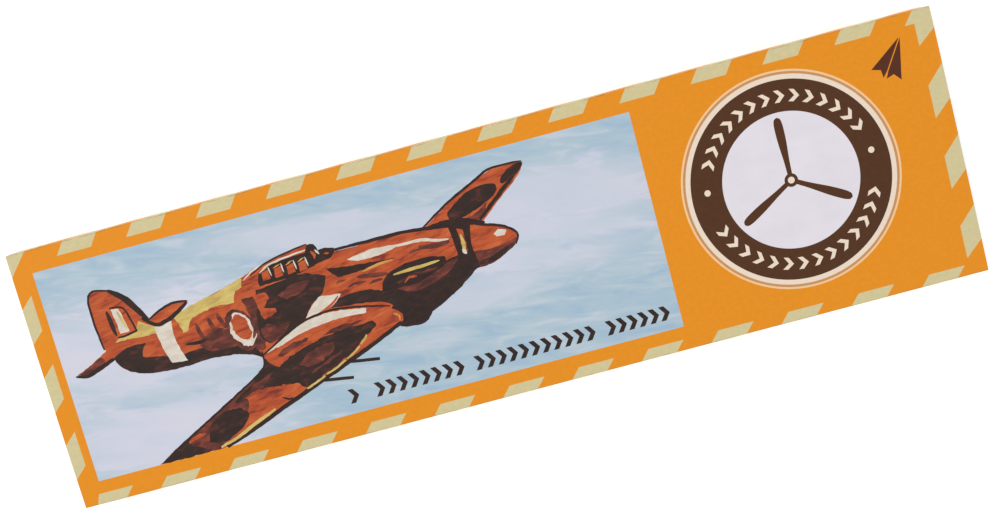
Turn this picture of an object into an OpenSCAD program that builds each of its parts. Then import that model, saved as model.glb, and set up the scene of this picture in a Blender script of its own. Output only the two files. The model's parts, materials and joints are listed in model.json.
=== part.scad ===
// A packaged balsa hand glider. A folded card sleeve, open at its right end, lies on its back with
// its printed face up. The unassembled glider lies flat inside. Each loose piece has a lane of its
// own across the sleeve, so any of them can slide out along +X past the others.
// Origin: middle of the sleeve's back. +X towards the open end, +Y towards the top edge of the print.

/* [Sleeve] */
// Length of the sleeve, along X
sleeve_l = 210; // [209:1:220]
// Width of the sleeve, along Y
sleeve_w = 60; // [60:1:66]
// Thickness of the closed sleeve, along Z
sleeve_t = 8; // [8:0.5:12]
// Thickness of the card
card_t = 0.5; // [0.3:0.05:0.5]
// Width of the glue flap inside the back panel
seam_w = 12; // [8:1:16]
// Length of the end panel's glued tab
tab_l = 10; // [6:1:12]
// Depth of each dust flap behind the end panel
dust_w = 20; // [10:1:25]

/* [Wing] */
// Span of the one-piece wing
wing_span = 204; // [180:2:204]
// Chord of the wing at its middle
wing_chord = 43; // [36:1:43]
// Thickness of the wing
wing_t = 1.3; // [1:0.1:1.3]

/* [Fuselage] */
// Length of the fuselage profile
fus_l = 154; // [140:1:160]
// Height of the fuselage profile over the canopy
fus_h = 25.8; // [24:0.1:25.8]
// Thickness of the fuselage
fus_t = 2.5; // [2:0.1:2.5]

/* [Tail] */
// Span of the tailplane
tail_span = 76; // [60:1:84]
// Chord of the tailplane, and length of the fin's foot along the sleeve's width
tail_chord = 18.4; // [16:0.1:18.4]
// Height of the fin, along the sleeve's length
fin_h = 28; // [24:1:32]
// Thickness of the tailplane and of the fin
tail_t = 1.2; // [1:0.1:1.2]

/* [Propeller] */
// Radius at the blade tips
prop_r = 22.5; // [18:0.5:22.5]
// Number of blades
blades = 3; // [2:1:3]
// Greatest width of a blade
blade_w = 6.2; // [5:0.1:6.2]
// Thickness of a blade
blade_t = 0.75; // [0.5:0.05:0.75]
// Pitch of the blades, in degrees
blade_pitch = 10; // [4:1:10]
// Radius of the hub
hub_r = 3.7; // [3.5:0.1:3.7]
// Radius of the axle pin
pin_r = 0.7; // [0.5:0.05:0.7]

/* [Hidden] */

eps = 0.01;             // what a cutter reaches past the face that it opens
lane_gap = 0.1;         // room between the layers of loose pieces
steps = 6;              // points on each stretch of a curved outline
$fn = 48;

half_l = sleeve_l / 2;
half_w = sleeve_w / 2;
wall_h = sleeve_t - 2 * card_t;

// Heights of the layers, from the back panel up
wing_z = 2 * card_t + lane_gap / 2;
prop_z = wing_z + wing_t + lane_gap;
upper_z = 4.5;          // underside of the fuselage and the tailplane
fin_z = upper_z + tail_t + 0.15;

// Where the loose pieces lie
wing_y = -29.1;         // the wing's trailing edge
fus_x = -92;            // the fuselage's tail end
fus_y = -28.9;          // the fuselage's belly
tail_x = 24;            // the tailplane's left tip
tail_y = 6.1;           // the tailplane's trailing edge
fin_x = -16;            // the fin's foot
hub_x = 79.5;           // the propeller's axis
hub_y = 1.5;
clip_x = 66;            // the mouth of the nose clip's socket
clip_y = 27.05;         // the nose clip's axis
clip_z = 4;

// Colours
orange = [0.88, 0.53, 0.15];
bare_card = [0.80, 0.77, 0.71];
balsa = [0.90, 0.79, 0.60];
moulding = [0.20, 0.14, 0.11];
steel = [0.70, 0.71, 0.73];
brass = [0.79, 0.63, 0.32];

// A smooth line through the points p, with n points on each stretch
function blend(a, b, c, d, t) =
    0.5 * (2 * b + (c - a) * t + (2 * a - 5 * b + 4 * c - d) * t * t
           + (3 * b - a - 3 * c + d) * t * t * t);
function curve(p, n = steps) =
    let (last = len(p) - 1)
    [for (i = [0:last - 1], k = [0:n - 1])
        blend(p[max(i - 1, 0)], p[i], p[i + 1], p[min(i + 2, last)], k / n), p[last]];
function reversed(p) = [for (i = [len(p) - 1:-1:0]) p[i]];
function sized(p, size) = [for (q = p) [q[0] * size[0], q[1] * size[1]]];

// ---- Card sleeve ----

module panel() {
    translate([-half_l, -half_w, 0]) cube([sleeve_l, sleeve_w, card_t]);
}

module front_panel() {
    color(orange) translate([0, 0, sleeve_t - card_t]) panel();
}

module back_panel() {
    color(bare_card) panel();
}

module long_wall() {
    translate([-half_l, half_w - card_t, card_t]) cube([sleeve_l, card_t, wall_h]);
}

module top_wall() {
    color(orange) long_wall();
}

module bottom_wall() {
    color(orange) mirror([0, 1, 0]) long_wall();
}

// Glued to the inside of the back panel, with its ends cut back at a slant
module seam_flap() {
    slant = 3;
    near = -half_w + card_t;
    far = near + seam_w;
    left = -half_l + 2 * card_t;
    right = half_l - 0.6;
    color(bare_card) translate([0, 0, card_t]) linear_extrude(card_t)
        polygon([[left, near], [right, near], [right - slant, far], [left + slant, far]]);
}

module end_panel() {
    color(orange) translate([-half_l, -half_w + card_t, card_t])
        cube([card_t, sleeve_w - 2 * card_t, wall_h]);
}

// The end panel's tab, with round corners, glued under the front panel
module tuck_tab() {
    corner = 4;
    reach = half_w - 1.5;
    left = -half_l + card_t;
    color(bare_card) translate([0, 0, sleeve_t - 2 * card_t]) linear_extrude(card_t) union() {
        translate([left, -reach]) square([tab_l - corner, 2 * reach]);
        translate([left, -reach + corner]) square([tab_l, 2 * (reach - corner)]);
        for (side = [-1, 1]) translate([left + tab_l - corner, side * (reach - corner)]) circle(corner);
    }
}

// Folded in from a long wall, behind the end panel
module dust_flap() {
    translate([-half_l + card_t, half_w - card_t - dust_w, 2 * card_t])
        cube([card_t, dust_w, wall_h - 2 * card_t]);
}

module dust_flap_top() {
    color(bare_card) dust_flap();
}

module dust_flap_bottom() {
    color(bare_card) mirror([0, 1, 0]) dust_flap();
}

// ---- Balsa pieces ----

// Half of a wing's outline, from the trailing edge at the root round the tip to the leading edge.
// x is a fraction of the half span and y a fraction of the root chord.
half_wing = concat(
    [[0.16, 0]],
    curve([[0.90, 0.27], [0.965, 0.35], [1, 0.55], [0.975, 0.74], [0.90, 0.81]]),
    [[0.16, 1]]);

function both_halves(half) =
    concat(half, [for (q = reversed(half)) [-q[0], q[1]]]);

module wing() {
    notch = [1.2, 1.6];         // the two marks that centre the wing in the fuselage
    score = [0.5, 0.35];        // width and depth of the cuts where the wing bends up
    score_x = 24;
    color(balsa) translate([0, wing_y, wing_z]) difference() {
        linear_extrude(wing_t) difference() {
            polygon(sized(both_halves(half_wing), [wing_span / 2, wing_chord]));
            for (side = [-1, 1])
                translate([side * (fus_t / 2 + notch[0]) - notch[0] / 2, -eps])
                    square([notch[0], notch[1] + eps]);
        }
        for (side = [-1, 1])
            translate([side * score_x - score[0] / 2, -1, -eps])
                cube([score[0], wing_chord + 2, score[1] + eps]);
    }
}

// The fuselage's side view in fractions of its length and height, tail at 0
belly = curve([[0, 0.34], [0.15, 0.27], [0.32, 0.17], [0.48, 0.10], [0.55, 0.07], [0.585, 0.01],
               [0.625, 0], [0.665, 0.01], [0.70, 0.07], [0.80, 0.11], [0.89, 0.19], [0.935, 0.29]]);
tongue = [[0.935, 0.36], [1, 0.36], [1, 0.545], [0.935, 0.545]];
nose_top = curve([[0.935, 0.66], [0.90, 0.735], [0.80, 0.79], [0.67, 0.82]]);
canopy = curve([[0.655, 0.84], [0.625, 0.96], [0.575, 1], [0.52, 0.985], [0.46, 0.90], [0.38, 0.83],
                [0.26, 0.765], [0.14, 0.70]]);
fin_notch = [[0.13, 0.70], [0.13, 0.57], [0.035, 0.57], [0.035, 0.67], [0, 0.66]];
fuselage_outline = concat(belly, tongue, nose_top, canopy, fin_notch);

module fuselage() {
    wing_slot = [wing_chord + 0.8, wing_t + 0.15];
    tail_slot = [tail_chord + 0.4, tail_t + 0.15];
    incidence = 2;
    color(balsa) translate([fus_x, fus_y, upper_z]) linear_extrude(fus_t) difference() {
        polygon(sized(fuselage_outline, [fus_l, fus_h]));
        translate([0.46 * fus_l, 0.36 * fus_h]) rotate(incidence) square(wing_slot);
        translate([-eps, 0.42 * fus_h]) square(tail_slot);
    }
}

half_tail = concat(
    [[0, 0], [0.62, 0.02]],
    curve([[0.80, 0.10], [0.94, 0.28], [1, 0.52], [0.93, 0.72], [0.78, 0.84]]),
    [[0.14, 1]]);

module tailplane() {
    color(balsa) translate([tail_x + tail_span / 2, tail_y, upper_z]) linear_extrude(tail_t)
        polygon(sized(both_halves(half_tail), [tail_span / 2, tail_chord]));
}

// The fin lies on its side, with the tongue of its foot pointing left
module fin() {
    foot = 0.13;
    outline = concat(
        [[0, 0.12], [0, 0.88], [foot, 0.88], [foot, 1]],
        curve([[0.34, 0.98], [0.70, 0.88], [0.93, 0.68], [1, 0.44], [0.95, 0.20], [0.82, 0.05],
               [0.66, 0]]),
        [[foot, 0], [foot, 0.12]]);
    color(balsa) translate([fin_x, tail_y, fin_z]) linear_extrude(tail_t)
        polygon(sized(outline, [fin_h, tail_chord]));
}

// ---- Nose ----

clip_l = 20;            // whole length of the nose clip
clip_size = [4.3, 6.6]; // its width and height at the socket
socket = [9, fus_t + 0.1, 0.185 * fus_h + 0.1];
slug_r = 1.6;
slug_l = 5;
boss_r = 2.15;
boss_l = 6;

module along_x() {
    rotate([0, 90, 0]) children();
}

// A square socket that grips the fuselage's tongue, and a round boss that holds the axle pin
module nose_clip() {
    block_l = clip_l - boss_l;
    color(moulding) translate([clip_x, clip_y, clip_z]) difference() {
        union() {
            translate([0, -clip_size[0] / 2, -clip_size[1] / 2])
                cube([block_l, clip_size[0], clip_size[1]]);
            translate([block_l, 0, 0]) along_x() cylinder(h = boss_l, r1 = boss_r, r2 = 1.6);
        }
        translate([-eps, -socket[1] / 2, -socket[2] / 2]) cube([socket[0] + eps, socket[1], socket[2]]);
        translate([socket[0] - eps, 0, 0]) along_x() cylinder(h = slug_l + eps, r = slug_r);
        translate([socket[0], 0, 0]) along_x() cylinder(h = clip_l, r = pin_r);
    }
}

module ballast_slug() {
    color(steel) translate([clip_x + socket[0], clip_y, clip_z]) along_x()
        cylinder(h = slug_l, r = slug_r);
}

// Pressed into the boss, with a round end for the bush
module axle_pin() {
    free_l = 7;
    start = clip_x + socket[0] + slug_l;
    held_l = clip_x + clip_l - start;
    color(steel) translate([start, clip_y, clip_z]) along_x() union() {
        cylinder(h = held_l + free_l, r = pin_r);
        translate([0, 0, held_l + free_l]) sphere(pin_r);
    }
}

// ---- Propeller unit, lying with its axis upright and its front up ----

bush_r = 1.35;
bush_flange = [2.9, 0.4];       // radius and thickness of the bush's rear flange
running_gap = 0.05;
hub_z = prop_z + bush_flange[1] + running_gap;
hub_h = 2.4;
washer_z = hub_z + hub_h + running_gap;
washer_t = 0.3;
lip = [1.9, 0.3];               // the bush's front end, turned over to hold the washer
blade_z = prop_z + 0.93;        // middle of the blades

module hub_bush() {
    top = washer_z + washer_t + running_gap;
    color(brass) translate([hub_x, hub_y, 0]) rotate_extrude() polygon([
        [pin_r + 0.03, prop_z], [bush_flange[0], prop_z], [bush_flange[0], prop_z + bush_flange[1]],
        [bush_r, prop_z + bush_flange[1]], [bush_r, top], [lip[0], top], [lip[0], top + lip[1]],
        [pin_r + 0.03, top + lip[1]]]);
}

module thrust_washer() {
    color(steel) translate([hub_x, hub_y, washer_z]) difference() {
        cylinder(h = washer_t, r = 2.5);
        translate([0, 0, -1]) cylinder(h = washer_t + 2, r = bush_r + running_gap);
    }
}

module blade() {
    outline = concat(
        curve([[0.12, -0.24], [0.30, -0.40], [0.60, -0.54], [0.86, -0.42], [0.96, -0.22], [1, 0.05]]),
        curve([[0.985, 0.25], [0.92, 0.42], [0.74, 0.46], [0.45, 0.36], [0.12, 0.24]]));
    rotate([blade_pitch, 0, 0]) translate([0, 0, -blade_t / 2]) linear_extrude(blade_t)
        polygon(sized(outline, [prop_r, blade_w]));
}

module propeller() {
    color(moulding) translate([hub_x, hub_y, 0]) difference() {
        union() {
            translate([0, 0, hub_z]) cylinder(h = hub_h, r = hub_r);
            for (i = [0:blades - 1])
                translate([0, 0, blade_z]) rotate(100 + 360 / blades * i) blade();
        }
        translate([0, 0, prop_z - 1]) cylinder(h = sleeve_t, r = bush_r + running_gap);
        translate([0, 0, prop_z - 1]) cylinder(h = hub_z - prop_z + 1, r = bush_flange[0] + 0.3);
    }
}

// A thin domed cap whose skirt is pressed over the hub
module spinner() {
    skirt_r = hub_r + 0.55;
    skirt_z = prop_z + 1.95;
    seat_z = hub_z + hub_h;
    dome = curve([[skirt_r, seat_z + 0.2], [3.95, 6.2], [2.9, 6.85], [1.5, 7.15], [0, 7.22]]);
    color(moulding) translate([hub_x, hub_y, 0]) rotate_extrude() polygon(concat(
        [[hub_r, skirt_z], [skirt_r, skirt_z]], dome,
        [[0, 6.6], [2.6, 6.3], [3.1, 5.8], [3.1, seat_z], [hub_r, seat_z]]));
}

front_panel();
back_panel();
top_wall();
bottom_wall();
seam_flap();
end_panel();
tuck_tab();
dust_flap_top();
dust_flap_bottom();
wing();
fuselage();
tailplane();
fin();
nose_clip();
ballast_slug();
axle_pin();
hub_bush();
thrust_washer();
propeller();
spinner();
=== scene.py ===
import json
import math
from functools import reduce
from math import cos, pi, radians, sin

import bmesh
import bpy
from mathutils import Euler, Matrix, Vector, noise
from mathutils.geometry import delaunay_2d_cdt


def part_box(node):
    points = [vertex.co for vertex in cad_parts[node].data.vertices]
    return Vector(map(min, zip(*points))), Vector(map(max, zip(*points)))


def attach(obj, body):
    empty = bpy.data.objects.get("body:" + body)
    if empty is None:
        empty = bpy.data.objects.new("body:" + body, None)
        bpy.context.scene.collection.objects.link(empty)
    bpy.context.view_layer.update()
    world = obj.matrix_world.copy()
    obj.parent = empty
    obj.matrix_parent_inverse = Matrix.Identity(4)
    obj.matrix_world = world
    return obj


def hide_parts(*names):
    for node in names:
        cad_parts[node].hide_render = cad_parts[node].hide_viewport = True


# The printed card sleeve of a balsa hand glider, with the unassembled glider lying flat inside.
# Lengths are in millimetres until they reach a mesh, which is in metres. Print positions run
# from the face's lower left corner: x to the right and y up, past 60 on to the top wall.

MM = 0.001


def corner(point):
    """A point of the frame, in mm."""
    return [value / MM for value in point]


def added(name, data):
    """A new object of this data, in the scene."""
    obj = bpy.data.objects.new(name, data)
    bpy.context.collection.objects.link(obj)
    return obj


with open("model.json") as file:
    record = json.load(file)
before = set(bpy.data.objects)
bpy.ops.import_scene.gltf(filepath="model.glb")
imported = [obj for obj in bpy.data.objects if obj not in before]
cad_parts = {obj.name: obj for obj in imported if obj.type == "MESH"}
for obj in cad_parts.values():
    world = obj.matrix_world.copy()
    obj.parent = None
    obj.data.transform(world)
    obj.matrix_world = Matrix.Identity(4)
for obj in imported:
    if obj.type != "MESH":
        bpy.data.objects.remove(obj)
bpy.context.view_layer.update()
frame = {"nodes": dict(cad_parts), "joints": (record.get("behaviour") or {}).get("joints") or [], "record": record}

front_low, front_high = (corner(p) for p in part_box("front_panel"))
LENGTH = front_high[0] - front_low[0]
WIDTH = front_high[1] - front_low[1]
HEIGHT = front_high[2]
CARD = front_high[2] - front_low[2]

# ---- camera

camera_data = bpy.data.cameras.new("camera")
camera_data.lens = 50
camera_data.sensor_width = 36
camera_data.clip_start = 0.005
camera = added("camera", camera_data)
camera.location = (0.0116, 0.0411, 0.3134)
camera.rotation_euler = Euler([radians(a) for a in (-7.78, -0.02, -15.12)])
bpy.context.scene.camera = camera

# ---- materials

LIGHT = 1.17  # how much brighter than a surface's own colour the studio light shows it


def srgb(red, green, blue):
    """The linear colour that shows as the given one, 0 to 255 a channel, under the studio light."""

    def linear(value):
        value /= 255
        return value / 12.92 if value <= 0.04045 else ((value + 0.055) / 1.055) ** 2.4

    return (linear(red) / LIGHT, linear(green) / LIGHT, linear(blue) / LIGHT, 1.0)


def scaled(tint, factor):
    """A colour made darker or lighter."""
    return tuple(min(1, channel * factor) for channel in tint[:3]) + (1,)


def tints(*rows):
    """The stops of a ramp, from rows of place, red, green and blue."""
    return [(place, srgb(*colour)) for place, *colour in rows]


class Material:
    """A short way to add and join the nodes of one material."""

    def __init__(self, name, roughness, specular=0.18):
        self.made = bpy.data.materials.new(name)
        self.made.use_nodes = True
        self.tree = self.made.node_tree
        self.shader = self.tree.nodes["Principled BSDF"]
        self.put(self.shader, "Roughness", roughness)
        self.put(self.shader, "Specular IOR Level", specular)
        self.place = self.add("TexCoord").outputs["Object"]

    def add(self, kind, inputs=(), **settings):
        """A new node with its settings, and its inputs as pairs of key and value or socket."""
        node = self.tree.nodes.new("ShaderNode" + kind)
        for key, value in settings.items():
            setattr(node, key, value)
        for key, value in inputs:
            self.put(node, key, value)
        return node

    def put(self, node, key, value):
        if isinstance(value, bpy.types.NodeSocket):
            self.tree.links.new(value, node.inputs[key])
        else:
            node.inputs[key].default_value = value

    def math(self, operation, a, b=0.0, clamp=False):
        return self.add("Math", ((0, a), (1, b)), operation=operation, use_clamp=clamp).outputs[0]

    def mapped(self, size, turn=0.0, shift=(0, 0, 0)):
        """Object coordinates turned about Z and divided by size, in mm."""
        turned = self.add("Mapping", vector_type="TEXTURE")
        self.put(turned, "Location", [value * MM for value in shift])
        self.put(turned, "Rotation", (0, 0, radians(turn)))
        self.put(turned, "Scale", [value * MM for value in size])
        self.put(turned, "Vector", self.place)
        return turned.outputs[0]

    def noise(self, size, detail=3.0, rough=0.5, turn=0.0, shift=(0, 0, 0), warp=0.0):
        keys = ("Scale", "Detail", "Roughness", "Distortion", "Vector")
        values = (1.0, detail, rough, warp, self.mapped(size, turn, shift))
        return self.add("TexNoise", zip(keys, values)).outputs[0]

    def ramp(self, factor, stops):
        node = self.add("ValToRGB", ((0, factor),))
        points = node.color_ramp.elements
        while len(points) < len(stops):
            points.new(0.5)
        for point, (place, colour) in zip(points, stops):
            point.position = place
            point.color = colour
        return node.outputs[0]

    def mix(self, factor, a, b):
        inputs = ((0, factor), (6, a), (7, b))
        return self.add("Mix", inputs, data_type="RGBA", clamp_factor=True).outputs[2]

    def split(self, vector):
        return self.add("SeparateXYZ", ((0, vector),)).outputs

    def axes(self, origin):
        """Distances along X, Y and Z from origin, in mm."""
        return self.split(self.mapped((1, 1, 1), shift=origin))

    def near(self, value, centre, reach):
        """1 where value is within reach of centre, else 0."""
        gap = self.math("ABSOLUTE", self.math("SUBTRACT", value, centre))
        return self.math("LESS_THAN", gap, reach)

    def both(self, *masks):
        return reduce(lambda a, b: self.math("MULTIPLY", a, b), masks)

    def either(self, *masks):
        return reduce(lambda a, b: self.math("MAXIMUM", a, b), masks)

    def colour(self, value):
        self.put(self.shader, "Base Color", value)

    def bump(self, height, depth):
        """Raises the surface by height times depth, in mm."""
        node = self.add("Bump", (("Distance", depth * MM), ("Height", height)))
        self.put(self.shader, "Normal", node.outputs[0])

    def rough(self, factor, low, high):
        node = self.add("MapRange", ((0, factor), ("To Min", low), ("To Max", high)))
        self.put(self.shader, "Roughness", node.outputs[0])


CREASE_GRIME_AND_SHADE = 0.4  # how much of the ink is hidden where handling grime and painted shade darken a crease most


def printed(mat, tint):
    """Ink on coated board, darkened along the sleeve's four long creases by handling grime and by painted shade of
    the bends.
    """
    _, y, z = mat.axes((0, 0, HEIGHT / 2))
    across = mat.math("SUBTRACT", mat.math("ABSOLUTE", y), WIDTH / 2)
    up = mat.math("SUBTRACT", mat.math("ABSOLUTE", z), HEIGHT / 2)
    away = mat.math("ADD", mat.math("ABSOLUTE", across), mat.math("ABSOLUTE", up))
    # painted shade of the bends, together with handling grime, darkens a noisy band along each crease
    crease_patchiness = mat.noise((2.6, 0.5, 0.5), detail=5, rough=0.7)
    crease_grime_and_shade = mat.math("SUBTRACT", 0.62, mat.math("ADD", away, mat.math("MULTIPLY", crease_patchiness, 0.6)))
    crease_grime_and_shade = mat.math("MULTIPLY", mat.math("MULTIPLY", crease_grime_and_shade, 9.0, clamp=True), CREASE_GRIME_AND_SHADE)
    mat.colour(mat.mix(crease_grime_and_shade, tint, srgb(112, 92, 66)))
    fibre = mat.noise((0.5, 0.16, 0.5), detail=4, rough=0.65, turn=4)
    mat.bump(fibre, 0.012)
    mat.rough(mat.noise((9, 7, 9), detail=3), 0.42, 0.56)


def flat_ink(name, colour, variation=0.05, size=(1.1, 0.9, 1)):
    """One ink, laid down a little unevenly."""
    mat = Material(name, 0.5)
    spread = mat.noise(size, detail=5, rough=0.6)
    tint = srgb(*colour)
    darker, lighter = scaled(tint, 1 - variation), scaled(tint, 1 + variation)
    printed(mat, mat.ramp(spread, [(0.3, darker), (0.7, lighter)]))
    return mat.made


def painted_ink(name, size, *rows):
    """Dry brush strokes in a few tints, running along the painted aircraft."""
    mat = Material(name, 0.5)
    strokes = mat.noise(size, detail=6, rough=0.62, turn=8, warp=0.5)
    printed(mat, mat.ramp(strokes, tints(*rows)))
    return mat.made


# Clouds on the sky panel: place, half width and height, tilt in degrees, and strength
CLOUDS = [
    ((24, 32), (36, 14), -4, 1.0),
    ((24, 12), (28, 12), -8, 1.0),
    ((72, 46.5), (30, 4), -8, 0.8),
    ((122, 41), (26, 8), -8, 0.85),
    ((118, 32), (24, 8), -4, 1.0),
    ((102, 24.5), (15, 4), 6, 0.75),
    ((86, 17), (9, 2), -3, 0.35),
]
# Blue smears over them
SMEARS = [
    ((24, 20.5), (11, 2.2), -6, 0.6),
    ((33, 23), (8, 1.6), -4, 0.5),
    ((134, 27), (12, 2.6), -10, 0.6),
    ((108, 33), (9, 1.2), -8, 0.45),
]


def sky_ink(name):
    """Brushed blue with the clouds and the smears over it."""
    mat = Material(name, 0.5)
    strokes = mat.noise((11, 2.6, 11), detail=5, rough=0.52, turn=-9, warp=0.6)
    drift = mat.noise((22, 7, 22), detail=3, rough=0.5, turn=-9, shift=(40, 0, 0))

    def patch(centre, reach, tilt, strength):
        place = (centre[0] - LENGTH / 2, centre[1] - WIDTH / 2, 0)
        spot = mat.mapped((reach[0], reach[1], 1000), tilt, place)
        length = mat.add("VectorMath", ((0, spot),), operation="LENGTH")
        edge = mat.math("ADD", length.outputs["Value"], mat.math("MULTIPLY", strokes, 1.9))
        edge = mat.math("SUBTRACT", 2.1, edge)
        return mat.math("MULTIPLY", mat.math("MULTIPLY", edge, 2.2, clamp=True), strength)

    cloud = 0.0
    for spot in CLOUDS:
        cloud = mat.math("MAXIMUM", cloud, patch(*spot))
    for spot in SMEARS:
        cloud = mat.math("MULTIPLY", cloud, mat.math("SUBTRACT", 1.0, patch(*spot)))
    blues = tints((0.32, 155, 181, 203), (0.44, 165, 188, 204), (0.54, 172, 192, 204), (0.68, 188, 200, 211))
    lavenders = tints((0.30, 188, 200, 214), (0.45, 200, 204, 218), (0.62, 207, 207, 220))
    printed(mat, mat.mix(cloud, mat.ramp(strokes, blues), mat.ramp(drift, lavenders)))
    return mat.made


INK_TABLE = (
    ("orange", flat_ink, (226, 140, 20), 0.03),
    ("cream", flat_ink, (206, 194, 148), 0.05),
    ("sky", sky_ink),
    ("rust", painted_ink, (5, 1.3, 5), (0.32, 120, 46, 32), (0.41, 160, 66, 38), (0.50, 182, 80, 40),
     (0.60, 190, 90, 45), (0.72, 204, 108, 58)),
    ("umber", painted_ink, (4, 1.6, 4), (0.36, 42, 28, 23), (0.55, 52, 35, 29), (0.63, 80, 40, 34),
     (0.76, 112, 52, 38)),
    ("line", painted_ink, (2, 1, 2), (0.35, 38, 25, 22), (0.70, 56, 36, 30)),
    ("plum", painted_ink, (3.4, 1.5, 3), (0.35, 68, 36, 32), (0.52, 100, 49, 40), (0.68, 138, 65, 46)),
    ("yellow", painted_ink, (4, 1.4, 4), (0.34, 178, 150, 86), (0.50, 201, 176, 99),
     (0.70, 214, 192, 118)),
    ("ochre", painted_ink, (3, 1, 3), (0.36, 196, 128, 62), (0.66, 216, 168, 88)),
    ("chalk", painted_ink, (3, 1.2, 3), (0.34, 203, 190, 172), (0.66, 222, 215, 203)),
    ("brown", flat_ink, (78, 44, 18), 0.10),
    ("badge", flat_ink, (222, 216, 224), 0.03, (6, 4, 6)),
    ("ring", flat_ink, (232, 214, 196), 0.03),
    ("peach", flat_ink, (238, 196, 148), 0.03),
    ("tan", flat_ink, (196, 142, 92), 0.05),
    ("mark", flat_ink, (82, 38, 20), 0.08),
)
INKS = {name: make(name + "_ink", *details) for name, make, *details in INK_TABLE}
INK_ORDER = list(INKS)


def plain_card(name, tint):
    """Unprinted board: pale fibres and faint specks."""
    mat = Material(name, 0.82, 0.25)
    fibre = mat.noise((0.9, 0.4, 0.9), detail=6, rough=0.7, turn=3)
    speck = mat.noise((0.35, 0.3, 0.35), detail=2)
    dark = scaled(tint, 0.91)
    shade = mat.ramp(fibre, [(0.3, dark), (0.7, scaled(tint, 1.05))])
    mat.colour(mat.mix(mat.math("GREATER_THAN", speck, 0.74), shade, dark))
    mat.bump(fibre, 0.03)
    return mat.made


INSIDE = plain_card("inside_card", srgb(196, 190, 176))
CUT_EDGE = plain_card("cut_card_edge", srgb(222, 214, 198))


def balsa_wood(piece, markings):
    """Straight grain along X with short dark pores, as on sanded balsa sheet.

    markings(mat, low, high) gives the masks of the rust and the dark ink on the upper face."""
    mat = Material(piece + "_balsa", 0.72, 0.3)
    bands = mat.noise((70, 2.2, 6), detail=3, rough=0.55, warp=0.3)
    pores = mat.noise((3.2, 0.16, 0.3), detail=4, rough=0.7)
    fuzz = mat.noise((0.5, 0.12, 0.2), detail=3, rough=0.7)
    wood = mat.ramp(bands, tints((0.30, 212, 182, 138), (0.50, 226, 200, 158), (0.72, 238, 217, 181)))
    pore_mask = mat.ramp(pores, [(0.56, (0, 0, 0, 1)), (0.70, (1, 1, 1, 1))])
    tint = mat.mix(mat.math("MULTIPLY", pore_mask, 0.45), wood, srgb(176, 138, 94))
    facing = mat.split(mat.place.node.outputs["Normal"])[2]
    # the side faces darker brown: partly the cut edges' own tone, partly painted shade that sets each piece apart
    # from the one it lies on
    cut = mat.near(facing, 0, 0.5)
    tint = mat.mix(mat.math("MULTIPLY", cut, 0.55), tint, srgb(158, 118, 76))
    upper = mat.math("GREATER_THAN", facing, 0.5)
    taken = mat.math("SUBTRACT", 0.95, mat.math("MULTIPLY", pore_mask, 0.35))
    rust, dark = markings(mat, *(corner(p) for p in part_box(piece)))
    tint = mat.mix(mat.both(rust, upper, taken), tint, srgb(190, 74, 38))
    tint = mat.mix(mat.both(dark, upper, taken), tint, srgb(62, 42, 38))
    mat.colour(tint)
    mat.bump(mat.math("ADD", fuzz, pores), 0.05)
    mat.rough(bands, 0.62, 0.82)
    return mat.made


def wing_markings(mat, low, high):
    span = (high[0] - low[0]) / 2  # of one half
    x, y, _ = mat.axes(((low[0] + high[0]) / 2, low[1], 0))
    out = mat.math("ABSOLUTE", x)
    place = 0.76 * span
    band = mat.near(out, place, 5)
    edges = mat.near(mat.math("ABSOLUTE", mat.math("SUBTRACT", out, place)), 6, 0.3)
    # The aileron's hinge runs along the swept trailing edge
    inboard, outboard, depth = 0.42 * span, 0.66 * span, 7
    sweep = mat.math("MULTIPLY", mat.math("SUBTRACT", out, 0.16 * span), 0.154)
    ahead = mat.math("SUBTRACT", y, sweep)
    line = 0.22
    along = mat.near(out, (inboard + outboard) / 2, (outboard - inboard) / 2)
    hinge = mat.both(mat.near(ahead, depth, line), along)
    sides = mat.either(mat.near(out, inboard, line), mat.near(out, outboard, line))
    ends = mat.both(sides, mat.math("LESS_THAN", ahead, depth))
    root = mat.near(x, 0, 0.18)
    return band, mat.either(edges, hinge, ends, root)


def fuselage_markings(mat, low, high):
    length, height = high[0] - low[0], high[1] - low[1]
    x, y, _ = mat.axes((low[0], low[1], 0))
    along = mat.math("DIVIDE", x, length)
    up = mat.math("DIVIDE", y, height)
    line = mat.math("ADD", 0.60, mat.math("MULTIPLY", along, 0.03))
    stripe = mat.both(mat.near(mat.math("SUBTRACT", up, line), 0, 0.035), mat.near(along, 0.46, 0.32))
    cowl = mat.near(along, 0.90, 0.034)
    cowl_edge = mat.near(along, 0.862, 0.0035)
    glazed = mat.both(mat.near(up, 0.915, 0.055), mat.near(along, 0.555, 0.075))
    bars = mat.either(*(mat.near(along, place, 0.004) for place in (0.51, 0.545, 0.58, 0.61)))
    glass = mat.both(glazed, mat.math("SUBTRACT", 1.0, bars))
    exhaust = mat.both(mat.near(up, 0.52, 0.022), mat.near(along, 0.79, 0.05))
    rudder = mat.near(along, 0.145, 0.0016)
    return mat.either(stripe, cowl), mat.either(glass, exhaust, cowl_edge, rudder)


def tailplane_markings(mat, low, high):
    x, y, _ = mat.axes(((low[0] + high[0]) / 2, low[1], 0))
    out = mat.math("ABSOLUTE", x)
    tips = mat.math("GREATER_THAN", out, 0.80 * (high[0] - low[0]) / 2)
    hinge = mat.both(mat.near(y, 6, 0.2), mat.near(out, 15, 13))
    return tips, mat.either(hinge, mat.near(out, 28, 0.2))


def fin_markings(mat, low, high):
    x, y, _ = mat.axes((low[0], low[1], 0))
    tip = mat.math("GREATER_THAN", x, 0.76 * (high[0] - low[0]))
    hinge = mat.both(mat.near(y, 6, 0.2), mat.near(x, 12, 7.5))
    return tip, mat.either(hinge, mat.near(x, 0.70 * (high[0] - low[0]), 0.2))


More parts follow.
